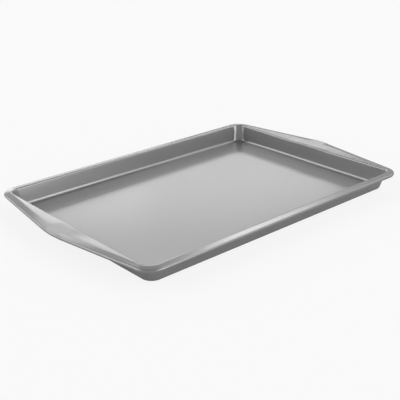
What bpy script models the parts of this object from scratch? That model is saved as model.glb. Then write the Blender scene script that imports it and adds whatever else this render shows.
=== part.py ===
"""Nonstick steel cookie sheet with pressed grip handles at both ends.

The tray is one pressed sheet: a flat floor, leaning walls, and a flange that runs round the top. The
flange is a narrow rim along the sides and widens into a handle at each end. Its outer edge is curled into
a bead, and a steel wire lies inside that bead to keep the rim straight in a hot oven.

The tray lies along X, with the handles at both ends. The origin is on the table, under its middle.
"""

import math
from typing import NamedTuple

import bpy

MM = 0.001

# The sheet and the tray pressed into it
SHEET = 0.6 * MM  # steel with its coating
HEIGHT = 22.8 * MM  # table to the top of the flange
TRAY_LENGTH = 383 * MM  # between the planes of the end walls, at the top
TRAY_WIDTH = 272 * MM  # between the planes of the side walls, at the top
WALL_LEAN = math.radians(12)  # from upright, so that the sheets nest
TOP_CORNER = 11.5 * MM  # plan radius of the walls' top
FLOOR_CORNER = 14 * MM  # plan radius of the walls' foot
FLOOR_FILLET = 2.5 * MM  # inside radius where the floor turns up
FLANGE_FILLET = 2.7 * MM  # outside radius where the wall turns out

# The flange: level beside the wall, then a ridge and a band that falls to the bead. On a handle the face
# between wall and ridge leans up a little outwards, except at the thumb pad in its middle
RIM_WIDTH = 10 * MM  # wall plane to the outside of the bead, on the sides
RIM_FALL = 0.8 * MM  # how far the bead lies under the flange's level
RIM_LAND = 0.3 * MM  # level strip between the wall's bend and the ridge, on the sides
HANDLE_REACH = 27.5 * MM  # wall plane to the outside of the bead, at a handle's tip
HANDLE_NOSE = 90 * MM  # radius that rounds the tip
RIDGE_REACH = 20.3 * MM  # wall plane to where the two ridges of a handle would cross
RIDGE_HALF = 108 * MM  # from a handle's middle to where each ridge meets the wall's bend
RIDGE_LIFT = math.radians(2.5)  # how much the face leans up towards the ridge
LIFT_BLEND = 50 * MM  # how far along each ridge the face turns from level to that lean
PAD_HALF = 9 * MM  # half of the thumb pad, a plain face between the inner ends of the two ridges
PAD_BLEND = 8 * MM  # how far along each ridge the pad turns into it
PAD_FALL = 0.25 * MM  # how far the bead lies under the flange's level, at the pad

# The bead and the wire in it
WIRE_DIAMETER = 2 * MM
WIRE_CLEARANCE = 0.3 * MM  # between the wire and the inside of the bead
WIRE_GAP = 2 * MM  # between the wire's two cut ends
CURL_TURN = math.radians(280)  # how far the edge is rolled round the wire

# How finely the curved stretches are stepped
FLOOR_FILLET_STEPS = 4
FLANGE_FILLET_STEPS = 5
WEB_STEPS = 2
BAND_STEPS = 3
CURL_STEPS = 11
HANDLE_STEPS = 11
CORNER_STEPS = 8
WIRE_BEVEL_STEPS = 2

BEAD_RADIUS = WIRE_DIAMETER / 2 + WIRE_CLEARANCE + SHEET
SEAM_MERGE = 0.01 * MM  # points on the middle planes are joined within this distance


class Station(NamedTuple):
    """Where the pressed profile stands: plan points of the wall, and how the flange is shaped there."""

    foot: tuple
    top: tuple
    outward: tuple
    width: float
    ridge: float
    crest: float
    pad: float

    def place(self, base, out, up):
        """The point at a distance outwards from the wall's foot or top, at a height."""
        return base[0] + self.outward[0] * out, base[1] + self.outward[1] * out, up


def clear_scene():
    """Empties the file, so that only the cookie sheet is left in it."""
    for old in list(bpy.data.objects):
        bpy.data.objects.remove(old, do_unlink=True)


def make_material(name, colour, roughness, metallic):
    """A Principled material for a part."""
    material = bpy.data.materials.new(name)
    material.use_nodes = True
    shader = material.node_tree.nodes["Principled BSDF"]
    shader.inputs["Base Color"].default_value = (*colour, 1.0)
    shader.inputs["Roughness"].default_value = roughness
    shader.inputs["Metallic"].default_value = metallic
    return material


def smooth_step(share):
    """0 to 1 with level ends, for a share that is held between 0 and 1."""
    share = min(1.0, max(0.0, share))
    return share * share * (3 - 2 * share)


def arc(centre, radius, start, end, steps):
    """Points of an arc in a profile, both ends included. Angles run anticlockwise from outwards."""
    points = []
    for i in range(steps + 1):
        angle = start + (end - start) * i / steps
        points.append((centre[0] + radius * math.cos(angle), centre[1] + radius * math.sin(angle)))
    return points


def handle_outline():
    """The straight edge of a handle: the outer tangent of its nose and of the rim's corner.

    Returns the direction that the edge faces, as an angle from +X, and the edge's distance from the origin.
    """
    nose_x = TRAY_LENGTH / 2 + HANDLE_REACH - HANDLE_NOSE
    across = TRAY_LENGTH / 2 - TOP_CORNER - nose_x
    along = TRAY_WIDTH / 2 - TOP_CORNER
    outer_corner = TOP_CORNER + RIM_WIDTH
    spread = math.acos((HANDLE_NOSE - outer_corner) / math.hypot(across, along))
    facing = math.atan2(along, across) - spread
    return facing, nose_x * math.cos(facing) + HANDLE_NOSE


def handle_width(y):
    """Wall plane to the outside of the bead, this far from a handle's middle."""
    facing, distance = handle_outline()
    if y < HANDLE_NOSE * math.sin(facing):
        return HANDLE_REACH - HANDLE_NOSE + math.sqrt(HANDLE_NOSE**2 - y**2)
    return (distance - y * math.sin(facing)) / math.cos(facing) - TRAY_LENGTH / 2


def wall_bend(lean):
    """How far past the wall plane the flange's bend ends, for a wall with this lean."""
    return FLANGE_FILLET * math.tan((math.pi / 2 - lean) / 2)


def stations():
    """The stations along a quarter of the tray, from a handle's middle round a corner to a side's middle."""
    half_length, half_width = TRAY_LENGTH / 2, TRAY_WIDTH / 2
    spread = (HEIGHT - SHEET) * math.tan(WALL_LEAN)
    top_x, top_y = half_length - TOP_CORNER, half_width - TOP_CORNER
    foot_x, foot_y = half_length - spread - FLOOR_CORNER, half_width - spread - FLOOR_CORNER
    side_ridge = wall_bend(WALL_LEAN) + RIM_LAND
    facing, _ = handle_outline()
    found = []
    # Along a handle the steps crowd towards its middle, where its edge and its pad curve
    for i in range(HANDLE_STEPS):
        share = (i / HANDLE_STEPS) ** 2
        y = top_y * share
        ridge = max(side_ridge, side_ridge + (RIDGE_REACH - side_ridge) * (1 - y / RIDGE_HALF))
        crest = (ridge - side_ridge) * math.tan(RIDGE_LIFT) * smooth_step((y - PAD_HALF) / LIFT_BLEND)
        pad = 1 - smooth_step((y - PAD_HALF) / PAD_BLEND)
        foot = (half_length - spread, foot_y * share)
        found.append(Station(foot, (half_length, y), (1.0, 0.0), handle_width(y), ridge, crest, pad))
    for i in range(CORNER_STEPS + 1):
        angle = math.pi / 2 * i / CORNER_STEPS
        outward = (math.cos(angle), math.sin(angle))
        foot = (foot_x + FLOOR_CORNER * outward[0], foot_y + FLOOR_CORNER * outward[1])
        top = (top_x + TOP_CORNER * outward[0], top_y + TOP_CORNER * outward[1])
        # Until the outline has turned as far as the handle's edge faces, it is still that straight edge
        outer = (TOP_CORNER + RIM_WIDTH) / math.cos(min(0.0, angle - facing))
        found.append(Station(foot, top, outward, outer - TOP_CORNER, side_ridge, 0.0, 0.0))
    foot, top = (0.0, half_width - spread), (0.0, half_width)
    found.append(Station(foot, top, (0.0, 1.0), RIM_WIDTH, side_ridge, 0.0, 0.0))
    return found


def station_lean(station):
    """The wall's lean at a station. It is larger in the corners, where the foot has the larger radius."""
    run = sum((t - f) * o for t, f, o in zip(station.top, station.foot, station.outward))
    return math.atan2(run, HEIGHT - SHEET)


def bead_start(station):
    """The slope at which the flange meets the bead, and the bead's centre as (outwards, up)."""
    band = station.width - BEAD_RADIUS - station.ridge
    slope = math.atan2(RIM_FALL + station.crest, band) * (1 - station.pad)
    slope += math.atan2(PAD_FALL, station.width - BEAD_RADIUS) * station.pad
    fall = RIM_FALL * (1 - station.pad) + PAD_FALL * station.pad
    return slope, (station.width - BEAD_RADIUS, HEIGHT - fall - BEAD_RADIUS * math.cos(slope))


def flange(station, start):
    """The flange's upper face from the wall's bend to the bead, both left out, as (outwards, up) points."""
    slope, centre = bead_start(station)
    end = centre[0] + BEAD_RADIUS * math.sin(slope)
    points = []
    for i in range(1, WEB_STEPS + BAND_STEPS):
        on_web = min(i, WEB_STEPS) / WEB_STEPS
        on_band = max(i - WEB_STEPS, 0) / BAND_STEPS
        out = start + (station.ridge - start) * on_web + (end - station.ridge) * on_band
        on_pad = (out - start) / (end - start)
        creased = (RIM_FALL + station.crest) * on_band - station.crest * on_web
        fall = creased * (1 - station.pad) + PAD_FALL * on_pad * station.pad
        points.append((out, HEIGHT - fall))
    return points


def profile(station):
    """The sheet's upper face at a station, from the floor to the curled edge, as points in space."""
    upright = math.pi / 2
    lean = station_lean(station)
    floor_end = -FLOOR_FILLET * math.tan((upright - lean) / 2)
    foot_arc = arc((floor_end, SHEET + FLOOR_FILLET), FLOOR_FILLET, -upright, -lean, FLOOR_FILLET_STEPS)
    bend = wall_bend(lean)
    top_arc = arc((bend, HEIGHT - FLANGE_FILLET), FLANGE_FILLET, math.pi - lean, upright, FLANGE_FILLET_STEPS)
    slope, centre = bead_start(station)
    curl_start = upright - slope
    curl = arc(centre, BEAD_RADIUS, curl_start, curl_start - CURL_TURN, CURL_STEPS)
    points = [station.place(station.foot, out, up) for out, up in foot_arc]
    points += [station.place(station.top, out, up) for out, up in top_arc + flange(station, bend) + curl]
    return points


def pressed_tray(collection, material):
    """The tray: one quarter of the sheet's upper face is lofted, mirrored twice and given its thickness."""
    rows = [profile(station) for station in stations()]
    vertices = [point for row in rows for point in row]
    ring = len(rows[0])
    faces = []
    for row in range(len(rows) - 1):
        for i in range(ring - 1):
            a = row * ring + i
            faces.append((a, a + 1, a + ring + 1, a + ring))
    vertices.append((0.0, 0.0, SHEET))
    faces.append([row * ring for row in range(len(rows))] + [len(vertices) - 1])

    mesh = bpy.data.meshes.new("pressed_tray")
    mesh.from_pydata(vertices, [], faces)
    tray = bpy.data.objects.new("pressed_tray", mesh)
    tray.data.materials.append(material)
    collection.objects.link(tray)

    mirror = tray.modifiers.new("Both halves and both ends", "MIRROR")
    mirror.use_axis = (True, True, False)
    mirror.use_clip = True
    mirror.merge_threshold = SEAM_MERGE
    thickness = tray.modifiers.new("Sheet thickness", "SOLIDIFY")
    thickness.thickness = SHEET
    thickness.offset = -1
    thickness.use_even_offset = True
    mesh.shade_smooth()
    mesh.set_sharp_from_angle(angle=math.radians(30))


def rim_wire(collection, material):
    """The wire in the bead: one length bent round the rim, its cut ends facing in the middle of a side."""
    quarter = []
    for station in stations():
        _, (out, up) = bead_start(station)
        quarter.append(station.place(station.top, out, up))
    side_middle = quarter.pop()
    to_side = quarter
    to_handle = quarter[::-1]
    start = (WIRE_GAP / 2, side_middle[1], side_middle[2])
    route = [start] + to_handle
    route += [(x, -y, z) for x, y, z in to_side[1:]]
    route += [(-x, -y, z) for x, y, z in to_handle]
    route += [(-x, y, z) for x, y, z in to_side[1:]]
    route.append((-start[0], start[1], start[2]))

    curve = bpy.data.curves.new("rim_wire", "CURVE")
    curve.dimensions = "3D"
    curve.bevel_depth = WIRE_DIAMETER / 2
    curve.bevel_resolution = WIRE_BEVEL_STEPS
    curve.use_fill_caps = True
    spline = curve.splines.new("POLY")
    spline.points.add(len(route) - 1)
    for knot, place in zip(spline.points, route):
        knot.co = (*place, 1.0)
    wire = bpy.data.objects.new("rim_wire", curve)
    wire.data.materials.append(material)
    collection.objects.link(wire)


def main():
    clear_scene()
    collection = bpy.data.collections.new("Cookie sheet")
    bpy.context.scene.collection.children.link(collection)
    coated_steel = make_material("Grey nonstick coated steel", (0.33, 0.33, 0.34), 0.36, 0.8)
    zinc_wire = make_material("Galvanised steel wire", (0.52, 0.53, 0.54), 0.45, 1.0)
    pressed_tray(collection, coated_steel)
    rim_wire(collection, zinc_wire)


main()
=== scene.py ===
"""Looks of a nonstick steel cookie sheet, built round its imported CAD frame.

The CAD tray is replaced by a finer drawing of the same pressed sheet, whose fillets, corners and curled bead
are smooth enough to mirror a softbox. The wire in the bead stays the CAD's own. Both get their real finish:
satin grey nonstick coating on the sheet and zinc on the wire.
"""

import logging
import math
from dataclasses import dataclass
from enum import Enum

import bmesh
import bpy
from mathutils import Matrix, Vector


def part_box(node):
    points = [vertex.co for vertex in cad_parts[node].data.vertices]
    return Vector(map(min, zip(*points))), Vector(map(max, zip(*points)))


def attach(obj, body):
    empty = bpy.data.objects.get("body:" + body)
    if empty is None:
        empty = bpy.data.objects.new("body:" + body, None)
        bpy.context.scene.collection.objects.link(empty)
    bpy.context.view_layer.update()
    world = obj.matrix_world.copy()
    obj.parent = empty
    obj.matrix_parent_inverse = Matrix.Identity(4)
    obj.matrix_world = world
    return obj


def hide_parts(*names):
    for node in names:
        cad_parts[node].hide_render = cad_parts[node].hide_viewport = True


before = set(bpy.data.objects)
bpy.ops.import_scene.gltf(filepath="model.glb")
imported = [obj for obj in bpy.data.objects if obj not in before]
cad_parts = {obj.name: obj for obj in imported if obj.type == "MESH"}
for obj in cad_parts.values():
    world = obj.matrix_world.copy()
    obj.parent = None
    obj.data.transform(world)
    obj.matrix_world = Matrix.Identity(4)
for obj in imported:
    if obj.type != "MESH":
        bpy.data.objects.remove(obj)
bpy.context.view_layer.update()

LOG = logging.getLogger("cookie_sheet")
MM = 0.001
UP = Vector((0.0, 0.0, 1.0))
WHITE = (1.0, 1.0, 1.0, 1.0)
# Most of what a noise texture gives lies between these
NOISE_LOW, NOISE_HIGH = 0.3, 0.7
# Positions of the Mix node's sockets, because several of them share a name
MIX_SHARE, MIX_NUMBER_A, MIX_NUMBER_B, MIX_COLOUR_A, MIX_COLOUR_B = 0, 2, 3, 6, 7
MIXED_NUMBER, MIXED_COLOUR = 0, 2


def linear(hex_code: str) -> tuple[float, float, float, float]:
    """Turns an sRGB hex colour into the linear one that shaders take.

    Args:
        hex_code: six hex digits after a hash, as a paint chart gives them.

    Returns:
        Red, green, blue and an alpha of one.
    """
    channels = [int(hex_code[i:i + 2], 16) / 255 for i in (1, 3, 5)]
    red, green, blue = (c / 12.92 if c <= 0.04045 else ((c + 0.055) / 1.055) ** 2.4 for c in channels)
    return red, green, blue, 1.0


def per_metre(size: float) -> float:
    """The scale that gives a Blender texture a feature of this size, in metres."""
    return 1 / size


def add_node(tree: bpy.types.NodeTree, kind: str, settings: dict[str | int, object] | None = None,
             links: dict[str | int, bpy.types.NodeSocket] | None = None) -> bpy.types.Node:
    """Adds a node with its settings and links.

    Args:
        tree: the material's or the world's node tree.
        kind: Blender's type name for the node.
        settings: values by input name or position, or by property name.
        links: output sockets by the name or position of the input that they feed.

    Returns:
        The new node.
    """
    node = tree.nodes.new(kind)
    for name, value in (settings or {}).items():
        if isinstance(name, int) or name in node.inputs:
            node.inputs[name].default_value = value
        else:
            setattr(node, name, value)
    for name, socket in (links or {}).items():
        tree.links.new(socket, node.inputs[name])
    return node


def blank_material(name: str) -> bpy.types.Material:
    """Makes a material whose node tree is still empty.

    Args:
        name: the finish's name.

    Returns:
        The new material.
    """
    material = bpy.data.materials.new(name)
    material.use_nodes = True
    material.node_tree.nodes.clear()
    return material


def finished_object(shape: bmesh.types.BMesh, name: str) -> bpy.types.Object:
    """Makes an object of a finished shape. It sits at the origin, with its place in its mesh.

    Args:
        shape: the shape, which is freed.
        name: the name of the object and its mesh.

    Returns:
        The new object, in the scene.
    """
    mesh = bpy.data.meshes.new(name)
    shape.to_mesh(mesh)
    shape.free()
    made = bpy.data.objects.new(name, mesh)
    bpy.context.scene.collection.objects.link(made)
    return made


def smooth_step(share: float) -> float:
    """0 to 1 with level ends, for a share that is held between 0 and 1."""
    share = min(1.0, max(0.0, share))
    return share * share * (3 - 2 * share)


@dataclass(frozen=True)
class NonstickCoating:
    """Grey nonstick coating: PTFE with a little mica flake, sprayed on the sheet and baked.

    The spray leaves a skin that is level but not quite flat, so it mirrors its surroundings softly, with a
    metallic look from the flake and no grain that shows from a step away.
    """

    name: str = "Sprayed and baked PTFE coating with mica flake"
    colour: str = "#868686"
    flake_colour: str = "#8c8c8c"
    metallic: float = 0.4
    roughness_low: float = 0.175
    roughness_high: float = 0.185
    flake: float = 0.35 * MM  # real flakes are near 0.05 mm, drawn coarser so that a close view shows them
    peel: float = 2.2 * MM  # distance between the waves that the spray leaves
    peel_depth: float = 0.003 * MM
    cloud: float = 45 * MM  # size of the patches where the gun laid a little more or less

    def material(self) -> bpy.types.Material:
        """Builds the coating as a material.

        Returns:
            A node material that reads Object coordinates.
        """
        material = blank_material(self.name)
        tree = material.node_tree
        place = add_node(tree, "ShaderNodeTexCoord").outputs["Object"]
        flake = add_node(tree, "ShaderNodeTexVoronoi", {"Scale": per_metre(self.flake)}, {"Vector": place})
        cloud = add_node(tree, "ShaderNodeTexNoise", {"Scale": per_metre(self.cloud), "Detail": 2.0},
                         {"Vector": place})
        peel = add_node(tree, "ShaderNodeTexNoise", {"Scale": per_metre(self.peel), "Detail": 1.0},
                        {"Vector": place})
        colour = add_node(tree, "ShaderNodeMix", {"data_type": "RGBA", MIX_COLOUR_A: linear(self.colour),
                                                  MIX_COLOUR_B: linear(self.flake_colour)},
                          {MIX_SHARE: flake.outputs["Color"]})
        roughness = add_node(tree, "ShaderNodeMapRange",
                             {"From Min": NOISE_LOW, "From Max": NOISE_HIGH, "To Min": self.roughness_low,
                              "To Max": self.roughness_high}, {"Value": cloud.outputs["Fac"]})
        bump = add_node(tree, "ShaderNodeBump", {"Strength": 1.0, "Distance": self.peel_depth},
                        {"Height": peel.outputs["Fac"]})
        shader = add_node(tree, "ShaderNodeBsdfPrincipled", {"Metallic": self.metallic},
                          {"Base Color": colour.outputs[MIXED_COLOUR],
                           "Roughness": roughness.outputs["Result"], "Normal": bump.outputs["Normal"]})
        add_node(tree, "ShaderNodeOutputMaterial", links={"Surface": shader.outputs["BSDF"]})
        return material


@dataclass(frozen=True)
class GalvanisedWire:
    """Hard-drawn steel wire with a thin zinc coat, dulled by the oven.

    Drawing through the die leaves it smooth, and the zinc gives it a pale, slightly clouded grey.
    """

    name: str = "Drawn wire with dull zinc coat"
    pale: str = "#a9abad"
    dull: str = "#8b8d8f"
    roughness: float = 0.42
    cloud: float = 3 * MM  # size of the zinc's cloudy patches

    def material(self) -> bpy.types.Material:
        """Builds the zinc coat as a material.

        Returns:
            A node material that reads Object coordinates.
        """
        material = blank_material(self.name)
        tree = material.node_tree
        place = add_node(tree, "ShaderNodeTexCoord").outputs["Object"]
        cloud = add_node(tree, "ShaderNodeTexNoise", {"Scale": per_metre(self.cloud), "Detail": 3.0},
                         {"Vector": place})
        colour = add_node(tree, "ShaderNodeMix", {"data_type": "RGBA", MIX_COLOUR_A: linear(self.dull),
                                                  MIX_COLOUR_B: linear(self.pale)},
                          {MIX_SHARE: cloud.outputs["Fac"]})
        shader = add_node(tree, "ShaderNodeBsdfPrincipled", {"Metallic": 1.0, "Roughness": self.roughness},
                          {"Base Color": colour.outputs[MIXED_COLOUR]})
        add_node(tree, "ShaderNodeOutputMaterial", links={"Surface": shader.outputs["BSDF"]})
        return material


class Zone(Enum):
    """The stretch of the tray's outline that a section stands on."""

    GRIP = "grip"
    CORNER = "corner"
    SIDE = "side"


@dataclass(frozen=True)
class Section:
    """Where one section of the sheet stands, and how its flange is shaped there.

    foot and top are where the wall's plane meets the floor's level and the flange's, and reach and ridge are
    measured outwards from top, to the outside of the bead and to the crease. crest is how far the crease
    stands over the flange's level, and dip how far the wall's bend stays under it. pad is 1 on the thumb pad,
    which has one plain face from the wall's bend to the bead, and 0 where the crease stands. fall is how far
    the creased flange ends under its own level, at the bead.
    """

    foot: Vector
    top: Vector
    outward: Vector
    reach: float
    ridge: float
    fall: float
    crest: float = 0.0
    dip: float = 0.0
    pad: float = 0.0


class Pen:
    """Draws a section of the sheet as a chain of edges, in the upright plane that faces outwards."""

    def __init__(self, mesh: bmesh.types.BMesh, start: Vector, outward: Vector) -> None:
        """Sets the pen down.

        Args:
            mesh: the mesh that takes the chain.
            start: where the chain starts.
            outward: the level direction that the section's plane faces.
        """
        self.mesh = mesh
        self.axis = outward.cross(UP)
        self.edges_before = len(mesh.edges)
        self.tip = mesh.verts.new(start)

    def line(self, point: Vector) -> None:
        """Draws a straight stretch.

        Args:
            point: where the stretch ends.
        """
        made = bmesh.ops.extrude_vert_indiv(self.mesh, verts=[self.tip])
        self.tip = made["verts"][0]
        self.tip.co = point

    def turn(self, centre: Vector, angle: float, steps: int) -> None:
        """Draws an arc round a centre. A turn is positive from outwards to upwards.

        Args:
            centre: the arc's centre.
            angle: how far to turn, in radians.
            steps: how many edges the arc has.
        """
        made = bmesh.ops.spin(self.mesh, geom=[self.tip], cent=centre, axis=self.axis, dvec=Vector(),
                              angle=angle, steps=steps, use_merge=False, use_duplicate=False)
        self.tip = next(part for part in made["geom_last"] if isinstance(part, bmesh.types.BMVert))

    def chain(self) -> list[bmesh.types.BMEdge]:
        """The edges drawn since the pen was set down."""
        return list(self.mesh.edges)[self.edges_before:]


@dataclass
class PressedTray:
    """The tray: one pressed sheet with its floor, walls, rim, two grips and curled bead.

    Lengths are in metres. The outline's size is taken from the CAD node, and the sheet, the walls, the rim
    and the bead have the CAD's sizes. The two fillets and the shape of the grips' faces were read from the
    photograph's shading after the CAD was closed, and these faces lie up to 0.65 mm from the CAD's.

    Across a grip the flange is a web, from the wall's bend up to the crease, and a band, which falls from
    the crease to the bead. Both flatten towards the pad in the grip's middle. Each blend is how far from the
    pad's edge, along the grip, that change is complete.
    """

    node: str = "pressed_tray"
    piece: str = "coated_tray"
    slot: str = "nonstick_steel"
    height: float = 22.8 * MM  # to the flange's level, over which the creases stand
    sheet: float = 0.6 * MM
    wall_lean: float = math.radians(12)
    top_corner: float = 11.5 * MM
    floor_corner: float = 14 * MM
    floor_fillet: float = 4 * MM
    flange_fillet: float = 2.3 * MM
    rim_width: float = 10 * MM
    rim_fall: float = 0.8 * MM
    rim_land: float = 0.4 * MM  # level stretch of a side's rim before it falls
    grip_reach: float = 27.5 * MM
    grip_nose: float = 90 * MM  # radius of the round end between a grip's two straight edges
    grip_fall: float = 0.55 * MM  # fall of the band beside the pad, which grows to the rim's
    fall_blend: float = 90 * MM
    ridge_reach: float = 20.9 * MM  # how far out the two lines of creases would meet, in a grip's middle
    ridge_half: float = 121 * MM  # along the grip, from there to where a crease runs out into the rim
    crest_lift: float = math.radians(2.6)  # lean of the web that comes from the crease standing up
    crest_blend: float = 110 * MM
    dip_lift: float = math.radians(3.2)  # lean of the web that comes from the wall's bend lying lower
    dip_blend: float = 34 * MM
    pad_half: float = 9 * MM
    pad_blend: float = 8 * MM
    pad_fall: float = 0.1 * MM  # fall of the pad's one plain face, from the wall's bend to the bead
    bead_radius: float = 1.9 * MM
    curl_turn: float = math.radians(280)
    hold: float = 0.4 * MM  # how close a flat stretch is held to the bends beside it
    weld: float = 0.01 * MM  # points this close at the mirrored halves' seam are one
    fillet_steps: int = 10
    web_steps: int = 3
    band_steps: int = 8
    curl_steps: int = 32
    grip_steps: int = 80
    grip_crowding: float = 1.5  # over 1, a grip's sections stand closer together towards its middle
    corner_steps: int = 24

    def __post_init__(self) -> None:
        """Takes the outline's size from the CAD node."""
        _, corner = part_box(self.node)
        self.half_length = corner.x - self.grip_reach
        self.half_width = corner.y - self.rim_width
        self.spread = (self.height - self.sheet) * math.tan(self.wall_lean)

    def grip_edge(self) -> tuple[float, float]:
        """Finds the grip's straight edge, which touches both its nose and the rim's corner.

        Returns:
            The angle that the edge faces, from +X, and its distance from the origin.
        """
        nose_x = self.half_length + self.grip_reach - self.grip_nose
        across = self.half_length - self.top_corner - nose_x
        along = self.half_width - self.top_corner
        outer_corner = self.top_corner + self.rim_width
        turned = math.acos((self.grip_nose - outer_corner) / math.hypot(across, along))
        facing = math.atan2(along, across) - turned
        return facing, nose_x * math.cos(facing) + self.grip_nose

    def grip_width(self, y: float) -> float:
        """Finds how far the bead stands out from the end wall's plane.

        Args:
            y: distance from the grip's middle, along the wall.

        Returns:
            The distance from the plane to the bead's outside.
        """
        facing, distance = self.grip_edge()
        if y < self.grip_nose * math.sin(facing):
            return self.grip_reach - self.grip_nose + math.sqrt(self.grip_nose**2 - y**2)
        return (distance - y * math.sin(facing)) / math.cos(facing) - self.half_length

    def bend_run(self, lean: float) -> float:
        """How far past the wall's plane the flange's bend ends, for a wall with this lean."""
        return self.flange_fillet * math.tan((math.pi / 2 - lean) / 2)

    def section(self, zone: Zone, share: float) -> Section:
        """Finds the section at a place on one quarter of the outline.

        Args:
            zone: the stretch of the outline.
            share: how far along that stretch, from 0 to 1, away from the grip's middle.

        Returns:
            The section that stands there.
        """
        side_ridge = self.bend_run(self.wall_lean) + self.rim_land
        top_x, top_y = self.half_length - self.top_corner, self.half_width - self.top_corner
        foot_x = self.half_length - self.spread - self.floor_corner
        foot_y = self.half_width - self.spread - self.floor_corner
        if zone is Zone.GRIP:
            y = top_y * share
            widening = max(0.0, (self.ridge_reach - side_ridge) * (1 - y / self.ridge_half))
            from_pad = y - self.pad_half
            crest = widening * math.tan(self.crest_lift) * smooth_step(from_pad / self.crest_blend)
            dip = widening * math.tan(self.dip_lift) * smooth_step(from_pad / self.dip_blend)
            pad = 1 - smooth_step(from_pad / self.pad_blend)
            more_fall = self.rim_fall - self.grip_fall
            fall = self.grip_fall + more_fall * smooth_step(from_pad / self.fall_blend)
            foot = Vector((self.half_length - self.spread, foot_y * share, 0.0))
            top = Vector((self.half_length, y, 0.0))
            return Section(foot, top, Vector((1, 0, 0)), self.grip_width(y), side_ridge + widening, fall,
                           crest, dip, pad)
        if zone is Zone.SIDE:
            foot = Vector((foot_x * (1 - share), self.half_width - self.spread, 0.0))
            top = Vector((top_x * (1 - share), self.half_width, 0.0))
            return Section(foot, top, Vector((0, 1, 0)), self.rim_width, side_ridge, self.rim_fall)
        angle = math.pi / 2 * share
        outward = Vector((math.cos(angle), math.sin(angle), 0.0))
        foot = Vector((foot_x, foot_y, 0.0)) + outward * self.floor_corner
        top = Vector((top_x, top_y, 0.0)) + outward * self.top_corner
        # Until the outline has turned as far as the grip's edge faces, it is still that straight edge
        facing, _ = self.grip_edge()
        outer = (self.top_corner + self.rim_width) / math.cos(min(0.0, angle - facing))
        return Section(foot, top, outward, outer - self.top_corner, side_ridge, self.rim_fall)

    def sections(self) -> list[Section]:
        """Finds all sections of one quarter of the outline.

        Returns:
            The sections, from a grip's middle round the corner to a side's middle.
        """
        found = [self.section(Zone.GRIP, (i / self.grip_steps) ** self.grip_crowding)
                 for i in range(self.grip_steps)]
        found += [self.section(Zone.CORNER, i / self.corner_steps) for i in range(self.corner_steps + 1)]
        found.append(self.section(Zone.SIDE, 1.0))
        return found

    def flange(self, section: Section, start: float, end: float) -> list[tuple[float, float]]:
        """Finds the flange's upper face between the wall's bend and the bead.

        Args:
            section: the section that it belongs to.
            start: where the wall's bend ends, outwards from the wall's plane.
            end: where the bead starts.

        Returns:
            Points as (outwards, fall under the flange's level), both ends left out.
        """
        points = []
        for i in range(1, self.web_steps + self.band_steps):
            on_web = min(i, self.web_steps) / self.web_steps
            on_band = max(i - self.web_steps, 0) / self.band_steps
            out = start + (section.ridge - start) * on_web + (end - section.ridge) * on_band
            on_pad = (out - start) / (end - start)
            creased = (section.fall + section.crest) * on_band - section.crest * on_web
            creased += section.dip * (1 - on_web)
            points.append((out, creased * (1 - section.pad) + self.pad_fall * on_pad * section.pad))
        return points

    def draw(self, mesh: bmesh.types.BMesh, section: Section) -> list[bmesh.types.BMEdge]:
        """Draws the sheet's upper face at a section, from the floor to the curled edge.

        Args:
            mesh: the mesh that takes the section.
            section: where it stands and how it is shaped.

        Returns:
            The edges of its chain.
        """
        upright = math.pi / 2
        run = (section.top - section.foot).dot(section.outward)
        lean = math.atan2(run, self.height - self.sheet)
        inset = self.floor_fillet * math.tan((upright - lean) / 2)
        bend = self.bend_run(lean)
        band = section.reach - self.bead_radius - section.ridge
        bead_out = section.reach - self.bead_radius
        slope = math.atan2(section.fall + section.crest, band) * (1 - section.pad)
        slope += math.atan2(self.pad_fall, bead_out) * section.pad
        bead_fall = section.fall * (1 - section.pad) + self.pad_fall * section.pad
        bead_up = self.height - bead_fall - self.bead_radius * math.cos(slope)

        pen = Pen(mesh, section.foot - section.outward * inset + UP * self.sheet, section.outward)
        pen.turn(pen.tip.co + UP * self.floor_fillet, upright - lean, self.fillet_steps)
        centre = section.top + section.outward * bend + UP * (self.height - section.dip - self.flange_fillet)
        wall_top = centre + self.flange_fillet * (UP * math.sin(lean) - section.outward * math.cos(lean))
        wall_foot = pen.tip.co.copy()
        wall = (wall_top - wall_foot).normalized()
        pen.line(wall_foot + wall * self.hold)
        pen.line(wall_top - wall * self.hold)
        pen.line(wall_top)
        pen.turn(centre, lean - upright, self.fillet_steps)
        for out, fall in self.flange(section, bend, bead_out + self.bead_radius * math.sin(slope)):
            pen.line(section.top + section.outward * out + UP * (self.height - fall))
        centre = section.top + section.outward * bead_out + UP * bead_up
        pen.line(centre + self.bead_radius * (UP * math.cos(slope) + section.outward * math.sin(slope)))
        pen.turn(centre, -self.curl_turn, self.curl_steps)
        return pen.chain()

    def build(self) -> bpy.types.Object:
        """Models the tray.

        Returns:
            The tray's object, with its place in its mesh.
        """
        shape = bmesh.new()
        chains = [self.draw(shape, section) for section in self.sections()]
        for chain, following in zip(chains, chains[1:]):
            bmesh.ops.bridge_loops(shape, edges=chain + following)
        for axis in ("X", "Y"):
            drawn = shape.verts[:] + shape.edges[:] + shape.faces[:]
            bmesh.ops.mirror(shape, geom=drawn, matrix=Matrix.Identity(4), merge_dist=self.weld, axis=axis)
        over_floor = self.sheet + self.hold
        floor_edges = [e for e in shape.edges if e.is_boundary and max(v.co.z for v in e.verts) < over_floor]
        floor = bmesh.ops.edgeloop_fill(shape, edges=floor_edges)["faces"]
        bmesh.ops.inset_region(shape, faces=floor, thickness=self.hold)
        bmesh.ops.recalc_face_normals(shape, faces=shape.faces)
        if floor[0].normal.z < 0:
            bmesh.ops.reverse_faces(shape, faces=shape.faces)

        tray = finished_object(shape, self.piece)
        tray.data.shade_smooth()
        thickness = tray.modifiers.new("Sheet thickness", "SOLIDIFY")
        thickness.thickness = self.sheet
        thickness.offset = -1
        thickness.use_even_offset = True
        return tray

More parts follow.
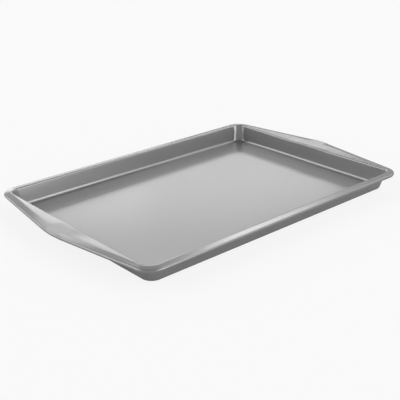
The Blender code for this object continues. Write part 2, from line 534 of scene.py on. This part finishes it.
    def dress(self, tray: bpy.types.Object, coating: bpy.types.Material) -> None:
        """Coats the tray and puts it in the CAD node's place.

        Args:
            tray: the modelled tray.
            coating: its finish.
        """
        tray.data.materials.append(coating)
        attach(tray, "root")
        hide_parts(self.node)
        LOG.info("%s: %d faces before its thickness", tray.name, len(tray.data.polygons))


@dataclass
class RimWire:
    """The wire that the bead is rolled round. Its CAD shape stays, and only its finish is new."""

    node: str = "rim_wire"

    def dress(self, zinc: bpy.types.Material) -> None:
        """Gives the CAD wire its finish.

        Args:
            zinc: the finish.
        """
        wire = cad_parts[self.node]
        wire.data.materials.clear()
        wire.data.materials.append(zinc)
        LOG.info("%s: CAD node with %s", wire.name, zinc.name)


@dataclass(frozen=True)
class Softbox:
    """A rectangular studio light that faces the tray. Its angles are in degrees and its sizes in metres."""

    name: str
    azimuth: float  # from +Y towards +X
    elevation: float
    width: float
    height: float
    brightness: float  # where 1 is the white of the background
    distance: float = 6.0

    def add(self) -> None:
        """Adds the light, aimed at the origin."""
        azimuth, elevation = math.radians(self.azimuth), math.radians(self.elevation)
        towards = Vector((math.sin(azimuth) * math.cos(elevation), math.cos(azimuth) * math.cos(elevation),
                          math.sin(elevation)))
        data = bpy.data.lights.new(self.name, "AREA")
        data.shape = "RECTANGLE"
        data.size = self.width
        data.size_y = self.height
        # An area light's radiance is its power over pi times its area
        data.energy = self.brightness * math.pi * self.width * self.height
        light = bpy.data.objects.new(self.name, data)
        light.rotation_euler = (-towards).to_track_quat("-Z", "Y").to_euler()
        light.location = towards * self.distance
        light.visible_camera = False
        bpy.context.scene.collection.objects.link(light)


@dataclass
class Studio:
    """A pale floor, white surroundings, softboxes and the photograph's camera.

    The softboxes stand where the photograph's tray mirrors a light. Together with the surroundings they light
    the floor at a plain level.
    """

    surroundings: float = 0.53  # brightness of the room's walls, where 1 is white
    wall_top: float = math.sin(math.radians(27))  # upward part of the direction where they start to darken
    ceiling: float = math.sin(math.radians(58))  # the same where they have gone black
    floor_colour: str = "#cecece"
    floor_white: float = 0.86  # share of the floor that the camera sees as plain white, without shadow
    mirrored_white: float = 0.15  # the same share in what metal or glass shows
    floor_half: float = 12.0
    floor_drop: float = 0.05 * MM  # gap under the tray, so that the two faces don't fight
    camera_azimuth: float = math.radians(-40.927)
    camera_elevation: float = math.radians(22.644)
    camera_roll: float = math.radians(-1.057)
    camera_distance: float = 996.33 * MM
    camera_target: tuple[float, float, float] = (-8.224 * MM, -2.612 * MM, 0.0)
    sensor: float = 36.0  # in millimetres, as is the lens
    lens: float = 72.996
    softboxes: tuple[Softbox, ...] = (
        Softbox("low_panel", 24, 13, 2.5, 0.84, 2.8),
        Softbox("back_panel", 38.7, 21, 2.95, 0.84, 1.6),
        Softbox("back_strip", 33.5, 32, 2.6, 0.79, 2.2),
        Softbox("back_patch", 32, 21.5, 0.8, 0.5, 0.3),
        Softbox("high_panel", 55, 41.5, 1.1, 1.8, 4.2),
        Softbox("left_panel", -45, 31.5, 8.6, 5.2, 2.2),
        Softbox("right_panel", 92.5, 41, 4.7, 3.0, 1.45),
        Softbox("front_panel", 154.5, 43, 5.0, 3.7, 2.2),
        Softbox("front_strip", 165, 19, 3.95, 2.65, 3.3),
        Softbox("front_low", 158, 5, 1.47, 0.95, 2.5),
    )

    def seen_white(self, tree: bpy.types.NodeTree, straight: float) -> bpy.types.NodeSocket:
        """Adds the share of plain white that a ray finds, so that the background is pale.

        Args:
            tree: the node tree of the world or of the floor's material.
            straight: the share for what the camera sees straight.

        Returns:
            The socket with that share. What metal or glass shows gets a smaller one, and light gets none.
        """
        path = add_node(tree, "ShaderNodeLightPath")
        camera = add_node(tree, "ShaderNodeMath", {"operation": "MULTIPLY", 1: straight},
                          {0: path.outputs["Is Camera Ray"]})
        shown = add_node(tree, "ShaderNodeMath", {"operation": "MAXIMUM"},
                         {0: path.outputs["Is Glossy Ray"], 1: path.outputs["Is Transmission Ray"]})
        mirrored = add_node(tree, "ShaderNodeMath", {"operation": "MULTIPLY", 1: self.mirrored_white},
                            {0: shown.outputs["Value"]})
        white = add_node(tree, "ShaderNodeMath", {"operation": "MAXIMUM"},
                         {0: camera.outputs["Value"], 1: mirrored.outputs["Value"]})
        return white.outputs["Value"]

    def add_world(self) -> None:
        """Adds white surroundings that darken towards the ceiling, and are plain white to the camera."""
        world = bpy.data.worlds.new("White surroundings")
        world.use_nodes = True
        tree = world.node_tree
        tree.nodes.clear()
        towards = add_node(tree, "ShaderNodeTexCoord")
        split = add_node(tree, "ShaderNodeSeparateXYZ", links={"Vector": towards.outputs["Generated"]})
        room = add_node(tree, "ShaderNodeMapRange",
                        {"interpolation_type": "SMOOTHSTEP", "From Min": self.wall_top,
                         "From Max": self.ceiling, "To Min": self.surroundings, "To Max": 0.0},
                        {"Value": split.outputs["Z"]})
        level = add_node(tree, "ShaderNodeMix", {MIX_NUMBER_B: 1.0},
                         {MIX_SHARE: self.seen_white(tree, 1.0), MIX_NUMBER_A: room.outputs["Result"]})
        background = add_node(tree, "ShaderNodeBackground", {"Color": WHITE},
                              {"Strength": level.outputs[MIXED_NUMBER]})
        add_node(tree, "ShaderNodeOutputWorld", links={"Surface": background.outputs["Background"]})
        bpy.context.scene.world = world

    def add_floor(self) -> None:
        """Adds the pale floor that the tray stands on."""
        shape = bmesh.new()
        bmesh.ops.create_grid(shape, x_segments=1, y_segments=1, size=self.floor_half)
        bmesh.ops.translate(shape, verts=shape.verts, vec=-UP * self.floor_drop)
        floor = finished_object(shape, "studio_floor")
        material = blank_material("Matt pale paper")
        tree = material.node_tree
        paper = add_node(tree, "ShaderNodeBsdfDiffuse", {"Color": linear(self.floor_colour)})
        white = add_node(tree, "ShaderNodeEmission", {"Color": WHITE, "Strength": 1.0})
        mixed = add_node(tree, "ShaderNodeMixShader", links={0: self.seen_white(tree, self.floor_white),
                                                             1: paper.outputs["BSDF"],
                                                             2: white.outputs["Emission"]})
        add_node(tree, "ShaderNodeOutputMaterial", links={"Surface": mixed.outputs["Shader"]})
        floor.data.materials.append(material)

    def add_camera(self) -> None:
        """Adds the camera at the photograph's angle."""
        azimuth, elevation = self.camera_azimuth, self.camera_elevation
        back = Vector((math.sin(azimuth) * math.cos(elevation), -math.cos(azimuth) * math.cos(elevation),
                       math.sin(elevation)))
        right = Vector((math.cos(azimuth), math.sin(azimuth), 0.0))
        rolled = Matrix.Rotation(self.camera_roll, 3, back)
        turned = Matrix((rolled @ right, rolled @ back.cross(right), back)).transposed()
        data = bpy.data.cameras.new("camera")
        data.sensor_width = self.sensor
        data.lens = self.lens
        camera = bpy.data.objects.new("camera", data)
        place = Vector(self.camera_target) + back * self.camera_distance
        camera.matrix_world = Matrix.Translation(place) @ turned.to_4x4()
        bpy.context.scene.collection.objects.link(camera)
        bpy.context.scene.camera = camera

    def build(self) -> None:
        """Sets the studio up."""
        bpy.context.scene.view_settings.view_transform = "Standard"
        self.add_world()
        self.add_floor()
        for softbox in self.softboxes:
            softbox.add()
        self.add_camera()
        LOG.info("studio: floor, %d softboxes, camera", len(self.softboxes))


def main() -> None:
    """Builds the studio and the cookie sheet."""
    logging.basicConfig(level=logging.INFO, format="%(name)s: %(message)s")
    Studio().build()
    tray = PressedTray()
    tray.dress(tray.build(), NonstickCoating().material())
    RimWire().dress(GalvanisedWire().material())


if __name__ == "__main__":
    main()
